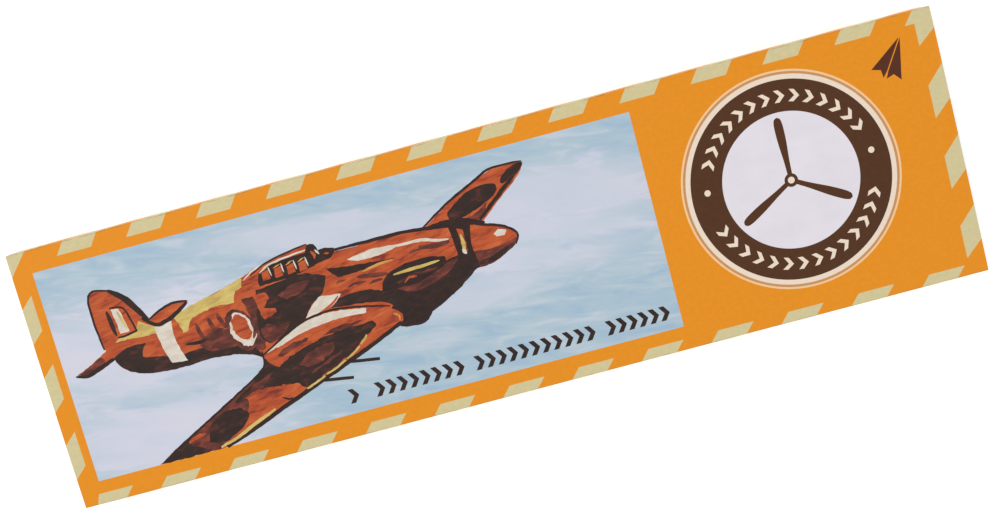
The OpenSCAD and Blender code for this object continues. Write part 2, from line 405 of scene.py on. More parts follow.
def moulded_plastic():
    mat = Material("moulded_plastic", 0.35, 0.5)
    grain = mat.noise((0.4, 0.4, 0.4), detail=3)
    mat.colour(mat.ramp(grain, tints((0.3, 58, 36, 26), (0.7, 72, 46, 32))))
    mat.bump(grain, 0.01)
    mat.rough(mat.noise((4, 4, 4)), 0.28, 0.42)
    return mat.made


def metal(name, tint, rough):
    mat = Material(name, rough)
    mat.put(mat.shader, "Metallic", 1.0)
    scratch = mat.noise((2.5, 0.05, 0.05), detail=3)
    mat.colour(mat.ramp(scratch, [(0.3, scaled(tint, 0.85)), (0.7, tint)]))
    mat.rough(scratch, rough - 0.08, rough + 0.1)
    return mat.made


# ---- outlines of the print

TINY = 1e-4  # points of the print nearer to each other than this are one
art = []  # (ink, closed outline), painted in order
noise.seed_set(5)  # otherwise the clock seeds it, and each run has outlines of its own


def smooth(points, step=1.0):
    """A smooth line through the points, sampled about every step mm."""
    out = []
    last = len(points) - 1
    for i in range(last):
        a, b = Vector(points[max(i - 1, 0)]), Vector(points[i])
        c, d = Vector(points[i + 1]), Vector(points[min(i + 2, last)])
        count = max(1, round((c - b).length / step))
        for k in range(count):
            t = k / count
            bend = (2 * a - 5 * b + 4 * c - d) * t * t
            out.append(0.5 * (2 * b + (c - a) * t + bend + (3 * b - a - 3 * c + d) * t**3))
    out.append(Vector(points[-1]))
    return out


def straight(points, step):
    """A closed outline with more points along its sides."""
    out = []
    for a, b in zip(points, points[1:] + points[:1]):
        count = max(1, int((b - a).length / step))
        out += [a.lerp(b, k / count) for k in range(count)]
    return out


def ragged(points, amount, step=0.45):
    """Breaks a closed outline up like the edge of a brush stroke."""
    out = []
    for p in straight(points, step):
        shake = noise.noise_vector(Vector((p.x * 0.9, p.y * 0.9, 3.0)))
        fine = noise.noise_vector(Vector((p.x * 2.6, p.y * 2.6, 7.0)))
        out.append(p + (shake.xy + fine.xy * 0.5) * amount)
    return out


def paint(ink, *runs, rough=0.16, closed=True):
    """A brushed region, smooth along each run. The next run goes on from a run's end, with a corner.

    The last run ends where the first one starts, unless the region isn't closed."""
    if closed:
        runs = [*runs[:-1], runs[-1] + runs[0][:1]]
    outline, last = [], []
    for run in runs:
        outline += smooth(last + run)
        last = run[-1:]
    clean = [p for i, p in enumerate(outline) if (p - outline[i - 1]).length > 0.05]
    art.append((ink, ragged(clean, rough)))


def stroke(ink, points, width, end=0.3, rough=0.1):
    """A brush line, widest in its middle and narrowing to end times its width."""
    line = smooth(points, 0.8)
    left, right = [], []
    for i, p in enumerate(line):
        along = line[min(i + 1, len(line) - 1)] - line[max(i - 1, 0)]
        across = Vector((-along.y, along.x)).normalized()
        part = i / (len(line) - 1)
        reach = width / 2 * (end + (1 - end) * sin(pi * part) ** 0.6)
        left.append(p + across * reach)
        right.append(p - across * reach)
    art.append((ink, ragged(left + right[::-1], rough)))


def block(ink, *points):
    """A crisp printed shape with straight sides."""
    art.append((ink, [Vector(p) for p in points]))


def around(centre, radius, angle):
    """The point at this distance and angle from centre."""
    return centre[0] + radius * cos(angle), centre[1] + radius * sin(angle)


def disc(ink, centre, radius, count=120):
    turn = 2 * pi / count
    art.append((ink, [Vector(around(centre, radius, i * turn)) for i in range(count)]))


def placed(points, centre, angle):
    """Points about their own origin, turned and moved to centre."""
    c, s = cos(angle), sin(angle)
    return [Vector((centre[0] + x * c - y * s, centre[1] + x * s + y * c)) for x, y in points]


SKY = ((4.7, 5.4), (141.5, 54.8))  # the painted panel's lower left and upper right corners
PITCH = 16.1  # from one border dash to the next


def dashes():
    """Slanted dashes round the border. Those on the long edges run on over the walls."""
    depth, foot, right = 2.9, 2.5, 4.0  # of the dashes at the top and left, at the foot and at the right
    edge, wall_top = 60, 60 + HEIGHT  # print heights of the top wall's creases
    rise = 0.72 * (depth + HEIGHT)
    for i in range(12):
        a = 11.1 + PITCH * i
        b = a + 7.9
        block("cream", (a, edge - depth), (b, edge - depth), (b + rise, wall_top), (a + rise, wall_top))
    fall = 0.84 * (foot + HEIGHT)
    for i in range(13):
        a = 3.8 + PITCH * i
        b = a + 8.1
        block("cream", (a, foot), (b, foot), (b - fall, -HEIGHT), (a - fall, -HEIGHT))
    for i in range(3):
        y = 50.1 - PITCH * i
        block("cream", (depth, y), (depth, y - 8.2), (0, y - 10.9), (0, y - 2.7))
    x = LENGTH
    for y in (47.4, 31.4, 15.4):
        block("cream", (x, y), (x, y - 7.9), (x - right, y - 11.5), (x - right, y - 4.1))
    block("cream", (0, 54.9), (4.4, edge), (10.2, wall_top), (0, wall_top))
    corner_dash = [(x - 6.1, 57.1), (x - 4, 57.1), (x - 4, 52.1), (x, 55.3)]
    block("cream", *corner_dash, (x, wall_top), (x + 0.2, wall_top), (x - 3.9, edge))


def sky_panel():
    (x0, y0), (x1, y1) = SKY
    block("sky", (x0, y0), (x1, y0), (x1, y1), (x0, y1))


def far_wing():
    paint("rust", [(89.5, 40.6), (97.3, 45.3), (105, 49), (109, 50.6)], [(113, 51), (116.3, 50.5)],
        [(114.4, 47.7), (109.5, 44), (104.4, 39.8), (102.6, 37.6)], [(95, 38)], closed=False)
    paint("umber", [(97.2, 43.9), (101, 46.4), (105.2, 47.8), (108.6, 47.5)], [(109.3, 46), (106.6, 44),
        (103, 42.6)], [(99, 41.7), (97.2, 42.4)], rough=0.22)
    paint("plum", [(97.4, 41.9), (102, 41.6), (106.4, 43.8)], [(104.2, 40.8), (99, 40.6)], rough=0.25)
    stroke("line", [(90, 41.2), (97.3, 45.6), (105, 49.2), (109, 50.8), (116, 50.7)], 0.6)
    stroke("umber", [(110.4, 47), (112.6, 48.8), (116, 50.3)], 1.7, rough=0.2)
    stroke("umber", [(103.8, 40.4), (108.2, 43.9), (112.6, 47.3), (115.4, 49.6)], 0.9, end=0.7, rough=0.15)
    paint("line", [(90.5, 41.7), (96, 42.4), (101, 41.6), (104.8, 39.8)], [(102.8, 38), (96, 39.4)])


def fuselage():
    belly = [(46.8, 24.4), (42.7, 25.5), (36.6, 26), (31.7, 25.7), (24.4, 26.1), (20.3, 27.3), (17.5, 29.4)]
    paint("rust", [(15.6, 33.6), (24, 37.6), (33.4, 37.9), (40.7, 39.6), (48.9, 41.7), (52.5, 43.1)],
        [(60, 43.6), (71.7, 42), (81, 42), (90.8, 41.6), (97, 40.8), (103, 39.2)], [(101, 30.8)],
        [(95.2, 26.7), (88.3, 23.4)], [(86, 21.4), (82.3, 21.6), (80, 22.6)], [(70, 22), (58, 20),
        (48.7, 23.2)], belly)
    # light on the top of the rear fuselage, and at the foot of the fin
    paint("yellow", [(31.8, 37.4), (36.5, 38.7), (42.2, 39.9), (48.9, 41.7)], [(48.6, 39.8), (47, 39.2),
        (46, 36.7)], [(42.9, 37.1), (38.9, 36.6), (35.4, 35.4), (34.6, 33.4), (33.2, 33.2)], [(32.8, 35.6)],
        rough=0.3)
    paint("yellow", [(18, 34.9), (19.2, 35.9), (23, 36.2)], [(24.2, 38.4)], [(25.6, 37.4), (27.6, 36.4)],
        [(27.6, 34.7)], [(24.3, 34.7), (20.6, 35)], rough=0.2)
    # dark underside of the tail and the rear fuselage
    paint("umber", [(16.4, 31.6), (20, 33.2), (24.4, 33.2)], [(22.8, 30.4), (27, 29.4), (30.5, 28.6),
        (36, 28.8), (42, 28.4), (47, 27.6)], [(48.9, 23.4)] + belly)
    paint("plum", [(36, 29.6), (40, 32.5), (43.4, 31.2), (46.4, 31.5), (48.4, 28)], [(44, 27.2),
        (38, 27.6)])
    # plain band round the tail
    paint("chalk", [(27.2, 36), (31.4, 37.2)], [(31, 33.2), (31.4, 30.4), (32.4, 26.9)], [(28.8, 27.3)],
        [(27.8, 31)], rough=0.12)
    # worn patches along the side
    for x, y, h in ((36.4, 32.0, 5.2), (39.4, 32.8, 4.6), (41.6, 33.6, 4.0)):
        stroke("plum", [(x, y + h / 2), (x + 0.5, y), (x + 1.3, y - h / 2)], 1.0)
    stroke("umber", [(33, 30.5), (36, 30.2), (39, 30.6)], 0.8)


def rear_markings():
    """A plain broken ring on the rear fuselage, and the frame on the fin."""
    stroke("line", [(18.8, 42.7), (20.4, 42.6), (21.9, 42), (22.6, 39.4), (23.3, 36.4)], 0.45, end=0.8)
    stroke("line", [(23.4, 36.5), (21.2, 36), (18.8, 35.9)], 0.5, end=0.8)
    paint("plum", [(48, 37), (50.8, 37)], [(50.8, 31.5), (50.2, 24.9)], [(47.8, 25.2), (48.9, 30.8)],
        rough=0.35)
    for ink, middle, wide, tall in (
        ("plum", (46.0, 30.4), 3.3, 5.0),
        ("chalk", (46.1, 30.5), 2.6, 4.0),
        ("rust", (46.1, 31.0), 1.9, 3.0),
    ):
        ring = []
        count = 40
        for i in range(count):
            angle = 2 * pi * i / count
            up = tall * sin(angle)
            ring.append(Vector((middle[0] + wide * cos(angle) - 0.16 * up, middle[1] + up)))
        art.append((ink, ragged(ring, 0.4)))
    stroke("plum", [(43.6, 32.6), (44.6, 34.2)], 0.8, rough=0.25)
    stroke("plum", [(48, 27.8), (48.8, 30)], 0.7, rough=0.25)


def tail():
    paint("rust", [(15.2, 33.4), (14.7, 40), (14.8, 45.6)], [(16.3, 47.4), (19.5, 46.7), (22.4, 44.4)],
        [(24.6, 41.4), (26.3, 38)], [(20, 35.4)])
    paint("chalk", [(19, 42.5), (20.8, 42.2)], [(21.8, 36.7)], [(19.6, 36.7)], [])
    stroke("yellow", [(20.2, 41.8), (20.8, 39.5), (21.3, 37.4)], 0.6)
    stroke("umber", [(18, 42.3), (18.3, 39), (18.6, 36.4)], 1.0)
    stroke("line", [(19.5, 46.8), (22.6, 44.2), (24.6, 41.2), (26.6, 38)], 1.5)
    stroke("line", [(15, 34), (14.6, 40), (14.8, 45.6), (16.4, 47.4), (20, 46.6)], 0.5, end=0.7)
    # near tailplane
    paint("rust", [(7.4, 30), (10.6, 31.4), (15.1, 33.6), (18.1, 34.7), (22.7, 34.5), (24.4, 34)],
        [(20.5, 32.8), (16, 31.5), (11.8, 29.8), (9.8, 29.4)], [])
    paint("plum", [(7.4, 29.9), (10.6, 31.3), (13.6, 32.8)], [(14.4, 31.2), (10.4, 29.6)], rough=0.25)
    stroke("line", [(7, 29.8), (9.6, 29.3), (12.6, 30.2), (17.5, 31.9)], 1.0)


def far_tailplane():
    paint("rust", [(26.4, 37.8), (29.4, 39.3), (32.6, 40.2), (36.1, 39.8)], [(31.2, 37), (28.3, 36.4)], [])
    stroke("line", [(26.2, 37.9), (29.4, 39.4), (32.6, 40.3), (36.2, 39.9)], 0.55, end=0.5)
    stroke("line", [(25.2, 38.8), (27, 37.1), (28.4, 36.4), (31.3, 37.1), (33.5, 38.2), (36, 39.7)], 1.0,
        end=0.5)


def cockpit():
    # shadow along the side, under the canopy
    paint("umber", [(51.4, 38.2), (56, 38.9), (62, 39.2), (67.4, 37.4)], [(66, 34.2), (62.6, 31.8),
        (59.8, 28.2)], [(55, 26.6), (51, 26), (49.6, 29)], rough=0.3)
    paint("plum", [(56, 35.8), (59.4, 37.4), (63.6, 37.2)], [(61.5, 35.2), (57.5, 34.6)], [], rough=0.3)
    paint("plum", [(49.8, 29.2), (52.4, 30.2), (54.2, 28.6), (56.8, 28.8)], [(54, 26.6), (51, 26.2)],
        rough=0.35)
    paint("rust", [(50.4, 37), (53.2, 37.2), (54, 35.6)], [(52.2, 34), (54.8, 33.2)], [(54.6, 32.2),
        (51.4, 31.4)], [], rough=0.3)
    # glazing
    paint("rust", [(51.2, 41.6), (55, 43.4), (60, 44.5), (65.2, 45.2)], [(68.4, 41.4)], [(60, 39.2),
        (52, 38.2)], [])
    paint("line", [(52.6, 38.8), (52.9, 41.2), (55.4, 42.7), (60, 43.3), (64.6, 43.5)], [(65.8, 40.2)],
        [(60, 39.1)])
    for x in (53.7, 56.6, 59.5, 62.2):
        paint("rust", [(x, 39.7), (x + 0.1, 41.6)], [(x + 1.7, 42)], [(x + 1.8, 39.9)], [], rough=0.12)
        stroke("chalk", [(x + 2.1, 40.4), (x + 1.9, 42.6)], 0.32)
        stroke("ochre", [(x, 41.9), (x + 1.7, 42.5)], 0.35)
    stroke("chalk", [(49.4, 41), (52.4, 42.8), (56, 43.6)], 0.35, rough=0.15)
    stroke("chalk", [(53.4, 41.6), (55.6, 42.9), (60, 43.6), (65, 44.1)], 0.42)
    stroke("line", [(51.2, 41.6), (55, 43.4), (60, 44.5), (65.2, 45.2)], 0.4, end=0.6)
    # windscreen and the guard ahead of it
    paint("line", [(64.4, 43.6), (65.2, 45), (66.8, 44.9), (67.3, 43.2)], [(68.9, 43.5), (70.9, 42.8)],
        [(70, 41), (67, 40.6), (64.6, 40.2)], [])
    stroke("rust", [(65.6, 43.4), (66.4, 42.4), (66.2, 41.4)], 0.7, rough=0.15)
    stroke("chalk", [(66.6, 43.6), (67.4, 42.4)], 0.5)
    stroke("rust", [(68.4, 42.2), (69.6, 42)], 0.5)


def cowling():
    # shadow under the nose, down to the chin intake
    paint("umber", [(62, 30.2), (68, 31.6), (75, 32), (80, 30.6), (87, 31.4), (93, 33.4), (98, 34.2)],
        [(103, 32.5), (101, 30.6)], [(95.2, 26.6), (88.3, 23.3)], [(86, 21.3), (82.3, 21.5), (80, 22.6)],
        [(80.6, 26), (78, 28.4), (70, 29.6)])
    paint("line", [(79.6, 26.6), (84, 28.6), (90, 28.2), (95.6, 27.4)], [(92, 25), (88.3, 23.3)],
        [(86, 21.3), (82.3, 21.5), (80, 22.6)])
    paint("plum", [(82, 30.4), (88, 30.6), (94, 33), (97, 33.4)], [(93, 30.4), (86, 28.8)])
    # exhaust
    paint("line", [(78.6, 30.6), (79.8, 33.2), (83.4, 35), (90, 35.5), (94.2, 34.6)], [(93.8, 32.8),
        (90, 31.6), (84.6, 30.6)])
    stroke("yellow", [(82, 33.6), (87.4, 33.8), (92.8, 34)], 0.7)
    stroke("plum", [(82.4, 31.6), (86.4, 32.4), (91.8, 32.6)], 0.7, rough=0.25)
    stroke("rust", [(84, 31.2), (85.4, 32.2), (87, 31.8)], 0.5, rough=0.25)
    # panel line and shading along the top
    paint("line", [(67.8, 38.8), (72, 38.2), (78, 37.6), (83.6, 37.2)], [(76, 36.4), (70, 36.2)], [])
    paint("chalk", [(73, 39.6), (79, 40.4), (86, 39.8)], [(81, 38.8), (76, 38.6)])
    stroke("chalk", [(84, 39.6), (90, 39.5), (93, 38.6), (96, 38.1)], 0.7)
    stroke("ochre", [(75.6, 36.1), (79, 36.7), (82.8, 36.9)], 0.6)
    stroke("plum", [(74, 35.2), (78, 34.6), (81, 34.2)], 1.1)
    stroke("plum", [(89, 38), (93, 37.4), (96, 37.6)], 1.2)
    stroke("line", [(70, 42.4), (78, 42.3), (86, 42.2), (92, 41.6), (98, 40.6), (103, 39)], 0.8, end=0.6)
    # wing root fillet, in full light
    paint("chalk", [(60.2, 28.6), (62, 31), (64.6, 33.2)], [(69.6, 32.6)], [(67.6, 30.6), (65, 29.6)])
    stroke("rust", [(68.8, 32.2), (66.8, 30.6), (62.8, 29.2)], 0.6)
    # mottling
    for x, y, reach in ((71.6, 33.6, 4.2), (76.4, 33.0, 3.0), (69.2, 35.0, 2.4), (86.6, 37.2, 3.6)):
        stroke("plum", [(x, y), (x + reach / 2, y + 0.3), (x + reach, y + 0.2)], 0.55, rough=0.3)


def spinner():
    paint("rust", [(101, 40), (104, 39.2), (107.9, 37.8), (110.2, 36.2)], [(111, 34.9), (110, 33.2),
        (107, 31.6)], [(103.6, 30.4), (100.8, 30.4)], [])
    paint("plum", [(100.6, 34), (104, 33.6), (108, 34), (110.8, 34.6)], [(110, 33.1), (107, 31.5),
        (103.6, 30.3), (100.6, 30.2)], [])
    stroke("umber", [(101.2, 31), (104.6, 31.4), (108.4, 33)], 1.2)
    stroke("line", [(102.6, 39.7), (107.9, 38), (110.4, 36.3), (111.1, 34.9), (110.2, 33.2)], 0.6, end=0.6)
    paint("chalk", [(106, 36.6), (107.2, 37.4), (108.9, 36.8)], [(108.2, 35.8), (106.4, 35.9)])
    # backplate and the gap behind it
    paint("line", [(96.6, 40.9), (101.4, 40)], [(100.6, 35), (101.2, 30.4)], [(96.4, 28.6)], [(97, 34)])
    paint("rust", [(98.2, 39.8), (99.6, 39.4)], [(99.4, 34.4)], [(98.6, 34.2)], [])
    stroke("yellow", [(98.8, 38.4), (98.9, 36.4), (98.6, 34)], 0.8)
    stroke("chalk", [(98.4, 35.2), (99, 33.9)], 0.9)


def near_wing():
    (_, low), _ = SKY
    paint("rust", [(48.2, 20.6), (49.6, 24.2), (53.5, 26.2), (60.2, 28.6), (66.8, 29.2), (73, 28)],
        [(79.1, 26.7), (81.7, 24.6)], [(81.4, 23.2), (79.2, 22.2)], [(74.6, 20.4), (66.3, 17.2), (54.9, 13),
        (49.2, 10.9), (43.4, 8.6), (36.4, low)], [(19.2, low)], [(24.4, 8.2), (32.5, 12.3), (40.7, 16.4)])
    # outer panel in shadow
    paint("plum", [(19.4, low), (24.4, 8.1), (32.5, 12.2), (40.6, 16.3)], [(42.8, 14.8), (42, 12.2),
        (39.4, 9.4), (33.4, low)], [], rough=0.25)
    paint("umber", [(31.6, 7.6), (33, 11.2), (36.4, 13.3), (40.6, 13.4)], [(42.3, 11.4), (39.4, 8.6),
        (34.8, 6.8)], rough=0.3)
    paint("umber", [(19.6, low), (24.6, 8.2), (29.4, 10.4)], [(27.6, 8), (30.2, 6.6), (32, low)], [],
        rough=0.35)
    stroke("rust", [(27, 8.6), (29.2, 9.4), (31.4, 9.8)], 0.8, rough=0.35)
    # band of shadow across the inner panel
    paint("umber", [(39.8, 15.2), (44, 17.9), (47.9, 20.7), (48.9, 23.3)], [(50.8, 20.6), (53.1, 20.9),
        (57.8, 22.7), (61.2, 23.7), (65.4, 24.4), (70, 24.9), (74.6, 24.8)], [(75.2, 23.6), (73.4, 22.2),
        (71.4, 21.2), (69.3, 19.6), (64.9, 17.4), (56.6, 14)], [(53.2, 15.7), (47.7, 16.2), (44.7, 16.1),
        (40.2, 14.6)], [], rough=0.45)
    paint("plum", [(56.2, 19.6), (59.6, 21.9), (64.8, 22.6)], [(64.6, 20.6), (61.9, 19.2), (58.6, 18.5)],
        rough=0.45)
    paint("plum", [(41.6, 15.7), (45.6, 17.8), (50, 19.4)], [(47, 16.6)], rough=0.4)
    paint("plum", [(62.8, 24.5), (67, 25.7), (72.8, 25.6)], [(68, 24.6)], rough=0.35)
    stroke("plum", [(52.2, 22.4), (55.8, 23.8), (59.6, 24.6)], 1.2, rough=0.4)
    stroke("plum", [(58.2, 17), (62.4, 18.4), (66.4, 20.2)], 0.6, rough=0.35)
    stroke("plum", [(36.4, 14.3), (40.4, 16), (45.6, 18.6)], 0.6, rough=0.2)
    # light along the root and the leading edge
    paint("chalk", [(49.8, 23.8), (53.6, 26.2), (60.2, 28.5), (66.8, 29.1), (74.2, 27.9)], [(74, 27),
        (66.8, 27.3)], [(59.5, 26.4), (54, 24.9)], rough=0.2)
    edge = [(43.4, 8.3), (49.2, 10.6), (54.9, 12.7), (60.6, 14.8), (66.3, 16.9), (74.8, 20.2), (80.9, 22.8)]
    stroke("line", [(35.2, low + 0.1)] + edge, 1.0, end=0.8)
    stroke("yellow", [(33.8, low + 0.4), (37.8, 6.9), (41.3, 8.4), (44.8, 9.8), (48.2, 11.1)], 0.75,
        end=0.5, rough=0.14)
    for run in (
        [(56.4, 13.7), (58.8, 14.6), (61.2, 15.5)],
        [(61.5, 15.7), (64.2, 16.7), (66.6, 17.8)],
        [(66.9, 18.0), (68.8, 18.9), (70.4, 20.0)],
        [(70.7, 20.3), (71.7, 21.1), (72.6, 22.1)],
    ):
        stroke("yellow", run, 0.5, end=0.6, rough=0.12)
    stroke("line", [(50.4, 13.3), (51.6, 12.5), (52.8, 12.6)], 0.45)
    stroke("ochre", [(79.6, 25.2), (80.8, 24.4), (80.7, 23.4)], 0.6)
    stroke("line", [(48.9, 23.6), (55, 26.7), (60.2, 28.8), (66.8, 29.5), (74, 28.4), (79.4, 27)], 0.5,
        end=0.6)
    stroke("line", [(48.9, 24.6), (48.8, 22.4), (47.4, 20.2), (40.4, 16.3), (32.4, 12.2), (24.4, 8.1),
        (20.4, low + 0.4)], 0.5, end=0.7)


def aerials():
    """Two thin probes ahead of the wing."""
    for x, y in ((67.2, 17.2), (60.4, 14.6)):
        stroke("line", [(x, y), (x + 3, y - 0.5), (x + 6.8, y - 1.1)], 0.75, end=0.95, rough=0.04)


def chevron(wide, tall, weight):
    """A bold arrowhead that points along +X, about the middle of its height."""
    half = tall / 2
    return [(0, -half), (weight, -half), (wide, 0), (weight, half), (0, half), (wide - weight, 0)]


def caption():
    """A row of bold arrowheads in four groups, in place of words."""
    middle = 9.4
    for start, end in ((64.9, 68.6), (71.0, 92.1), (94.2, 122.4), (124.6, 139.4)):
        count = max(1, round((end - start) / 2.5))
        for i in range(count):
            spot = (start + (end - start) / count * i, middle)
            art.append(("line", placed(chevron(2.35, 3.3, 1.2), spot, 0)))


BADGE = (172.3, 31.0)


def badge():
    """The round badge: rims, a ring of arrowheads in place of words, and a three-bladed propeller."""
    for ink, radius in (("peach", 24.3), ("tan", 23.85), ("ring", 23.3), ("brown", 22.2), ("badge", 15.2)):
        disc(ink, BADGE, radius)
    middle = 18.6
    mark = [(x - 1.1, y) for x, y in chevron(2.35, 2.7, 1.1)]
    count = 14
    for low, high in ((20, 160), (342, 198)):
        for i in range(count):
            angle = radians(low + (high - low) * (i + 0.5) / count)
            along = angle - pi / 2 if low < high else angle + pi / 2
            art.append(("ring", placed(mark, around(BADGE, middle, angle), along)))
    for angle in (radians(6), radians(174)):
        disc("ring", around(BADGE, middle, angle), 0.7, 32)
    half = [(0.5, 0), (0.6, 4), (0.95, 9), (0.95, 12.6), (0.6, 13.8), (0.1, 14.1)]
    blade = smooth(half, 0.7)
    outline = [(p.x, p.y) for p in blade] + [(-p.x, p.y) for p in reversed(blade)]
    for turn in (0, 120, 240):
        art.append(("brown", placed(outline, BADGE, radians(turn))))
    disc("brown", BADGE, 1.5, 48)
    disc("ring", BADGE, 0.75, 32)


def dart():
    """A small paper dart, seen from above."""
    spot = (199.6, 51.0)
    heading = radians(58)
    for side in (1, -1):
        wing = [(4.9, 0.12), (-3.6, 3.5), (-3.0, 1.5), (-4.4, 0.35), (-2.6, 0.12)]
        art.append(("mark", placed([(x, y * side) for x, y in wing], spot, heading)))


dashes()
sky_panel()
far_wing()
tail()
fuselage()
rear_markings()
far_tailplane()
cockpit()
cowling()
spinner()
near_wing()
aerials()
caption()
badge()
dart()

# ---- folded sleeve

FOLD = 0.45  # outer radius of a crease
ARC = pi / 2 * FOLD
BOW = 0.18  # how far the printed face bulges
GAP = 0.12  # left between the edges of two panels


def section(y):
    """Where print height y lies round the folded sleeve: (across, up), and the outward normal."""
    s = y - WIDTH / 2
    side = 1 if s >= 0 else -1
    flat = WIDTH / 2 - FOLD
    wall = HEIGHT - 2 * FOLD
    d = abs(s)
    if d <= flat:
        return (side * d, HEIGHT), (0, 1)
    d -= flat
    if d <= ARC:
        out, up = sin(d / FOLD), cos(d / FOLD)
        return (side * (flat + FOLD * out), HEIGHT - FOLD + FOLD * up), (side * out, up)
    d -= ARC
    if d <= wall:
        return (side * WIDTH / 2, HEIGHT - FOLD - d), (side, 0)
    d -= wall
    if d <= ARC:
        out, down = cos(d / FOLD), sin(d / FOLD)
        return (side * (flat + FOLD * out), FOLD - FOLD * down), (side * out, -down)
    d -= ARC
    return (side * (flat - d), 0), (0, -1)


def bulge(x, y):
    """Slow bow of the printed face, none at its edges."""
    if not 0 < y < WIDTH:
        return 0.0
    across = sin(pi * y / WIDTH)
    wave = 0.75 + 0.25 * sin(x / 31 + 0.8)
    return BOW * across * wave


FOOT = WIDTH - FOLD + ARC + HEIGHT - 2 * FOLD  # print height where the top wall's lower crease starts


def folded(x, y, depth):
    """The place in the sleeve of a print position, depth mm under the printed side."""
    (across, up), (ny, nz) = section(y)
    lift = bulge(x, y) - depth
    on_back = min(max((y - FOOT) / ARC, 0), 1)
    x += on_back * FOLD * (1 - x / LENGTH)  # the end panel's crease takes the back panel's left edge
    return Vector((x - LENGTH / 2, across + ny * lift, up + nz * lift))


def winding(outline):
    """A test of whether a closed outline goes round a point."""
    rows = {}  # the outline's edges, by each whole mm of height that they cross
    for a, b in zip(outline, outline[1:] + outline[:1]):
        for row in range(math.floor(min(a.y, b.y)), math.floor(max(a.y, b.y)) + 1):
            rows.setdefault(row, []).append((a.x, a.y, b.x, b.y))

    def goes_round(x, y):
        turns = 0
        for ax, ay, bx, by in rows.get(math.floor(y), ()):
            if (ay <= y) != (by <= y) and ax + (bx - ax) * (y - ay) / (by - ay) > x:
                turns += 1 if by > ay else -1
        return turns != 0

    return goes_round


def planar_map(low, high, shapes, rows):
    """Triangles over the box from low to high, each with the last shape that holds it.

    rows are heights that get an edge right across, so that the sheet can bend there."""
    points, edges, loops = [], [], []

    def add_loop(loop):
        start = len(points)
        points.extend(loop)
        edges.extend((start + i, start + (i + 1) % len(loop)) for i in range(len(loop)))

    add_loop([Vector(p) for p in (low, (high[0], low[1]), high, (low[0], high[1]))])
    for _, outline in shapes:
        loop = [Vector(min(max(p[i], low[i]), high[i]) for i in (0, 1)) for p in outline]
        loops.append([p for i, p in enumerate(loop) if (p - loop[i - 1]).length > 0.02])
        add_loop(loops[-1])
    for y in rows:
        start = len(points)
        points.extend((Vector((low[0], y)), Vector((high[0], y))))
        edges.append((start, start + 1))
    # loose points that let the sheet bow, at heights that no other edge has
    step, aside = 6.0, 0.37
    for i in range(1, int((high[0] - low[0]) / step)):
        for j in range(1, int((high[1] - low[1]) / step)):
            points.append(Vector((low[0] + i * step, low[1] + j * step + aside)))
    verts, _, tris, _, _, _ = delaunay_2d_cdt(points, edges, [], 0, TINY)
    centres = [tuple((verts[a] + verts[b] + verts[c]) / 3) for a, b, c in tris]
    inks = [-1] * len(tris)
    for number, loop in enumerate(loops):
        goes_round = winding(loop)
        foot, top = min(p.y for p in loop), max(p.y for p in loop)
        for i, (x, y) in enumerate(centres):
            if foot < y < top and goes_round(x, y):
                inks[i] = number
    return verts, tris, inks


def rim_edges(tris):
    """Edges that only one triangle uses, in that triangle's direction."""
    seen = {}
    for tri in tris:
        for a, b in zip(tri, tri[1:] + tri[:1]):
            seen[(a, b)] = True
    return [(a, b) for a, b in seen if (b, a) not in seen]


def card_sheet(name, outer, inner, faces, inks, picks):
    """A sheet of card between two skins of points in mm, with the ink that each outer face picks."""
    count = len(outer)
    rim = [[b, a, a + count, b + count] for a, b in rim_edges(faces)]
    mesh = bpy.data.meshes.new(name)
    skins = faces + [[i + count for i in reversed(face)] for face in faces]
    mesh.from_pydata([v * MM for v in outer + inner], [], skins + rim)
    for material in (*inks, INSIDE, CUT_EDGE):
        mesh.materials.append(material)
    picks = picks + [len(inks)] * len(faces) + [len(inks) + 1] * len(rim)
    mesh.polygons.foreach_set("material_index", picks)
    mesh.validate()
    return added(name, mesh)


def printed_sleeve():
    """The folded sheet: bottom wall, face, top wall and back, printed outside and plain inside."""
    back_reach = WIDTH - FOLD - GAP
    low = (0.0, -(HEIGHT - CARD - 0.05))
    starts = ((WIDTH - FOLD, 1), (FOLD, -1), (FOOT, 1))
    creases = [start + way * ARC * k / 5 for start, way in starts for k in range(6)]
    high = (LENGTH, FOOT + ARC + back_reach - FOLD)
    verts, tris, inks = planar_map(low, high, art, creases)
    outer, inner = ([folded(v.x, v.y, depth) for v in verts] for depth in (0.0, CARD))
    picks = [INK_ORDER.index(art[i][0]) if i >= 0 else 0 for i in inks]
    return card_sheet("printed_sleeve", outer, inner, [list(t) for t in tris], INKS.values(), picks)


sleeve = printed_sleeve()
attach(sleeve, "sleeve")
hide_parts("front_panel", "top_wall", "bottom_wall", "back_panel")


def end_closure():
    """The end panel, with its creases to the back panel and to the glued tab."""
    left = -LENGTH / 2
    top = HEIGHT - CARD
    reach = WIDTH / 2 - CARD - GAP
    quarter = [(sin(pi / 2 * k / 6), cos(pi / 2 * k / 6)) for k in range(7)]
    path = [((left + FOLD + 0.6, top), (0, 1))]
    path += [((left + FOLD - FOLD * a, top - FOLD + FOLD * b), (-a, b)) for a, b in quarter]
    path += [((left + FOLD - FOLD * b, FOLD - FOLD * a), (-b, -a)) for a, b in quarter]
    across = [-reach + 2 * reach * j / 12 for j in range(13)]
    outer, inner = [], []
    for (x, z), (nx, nz) in path:
        for y in across:
            outer.append(Vector((x, y, z)))
            inner.append(Vector((x - nx * CARD, y, z - nz * CARD)))
    wide = len(across)
    firsts = [i * wide + j for i in range(len(path) - 1) for j in range(wide - 1)]
    quads = [[k, k + 1, k + wide + 1, k + wide] for k in firsts]
    return card_sheet("end_closure", outer, inner, quads, [INKS["orange"]], [0] * len(quads))


end = end_closure()
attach(end, "sleeve")
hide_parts("end_panel")

# ---- moulded pieces


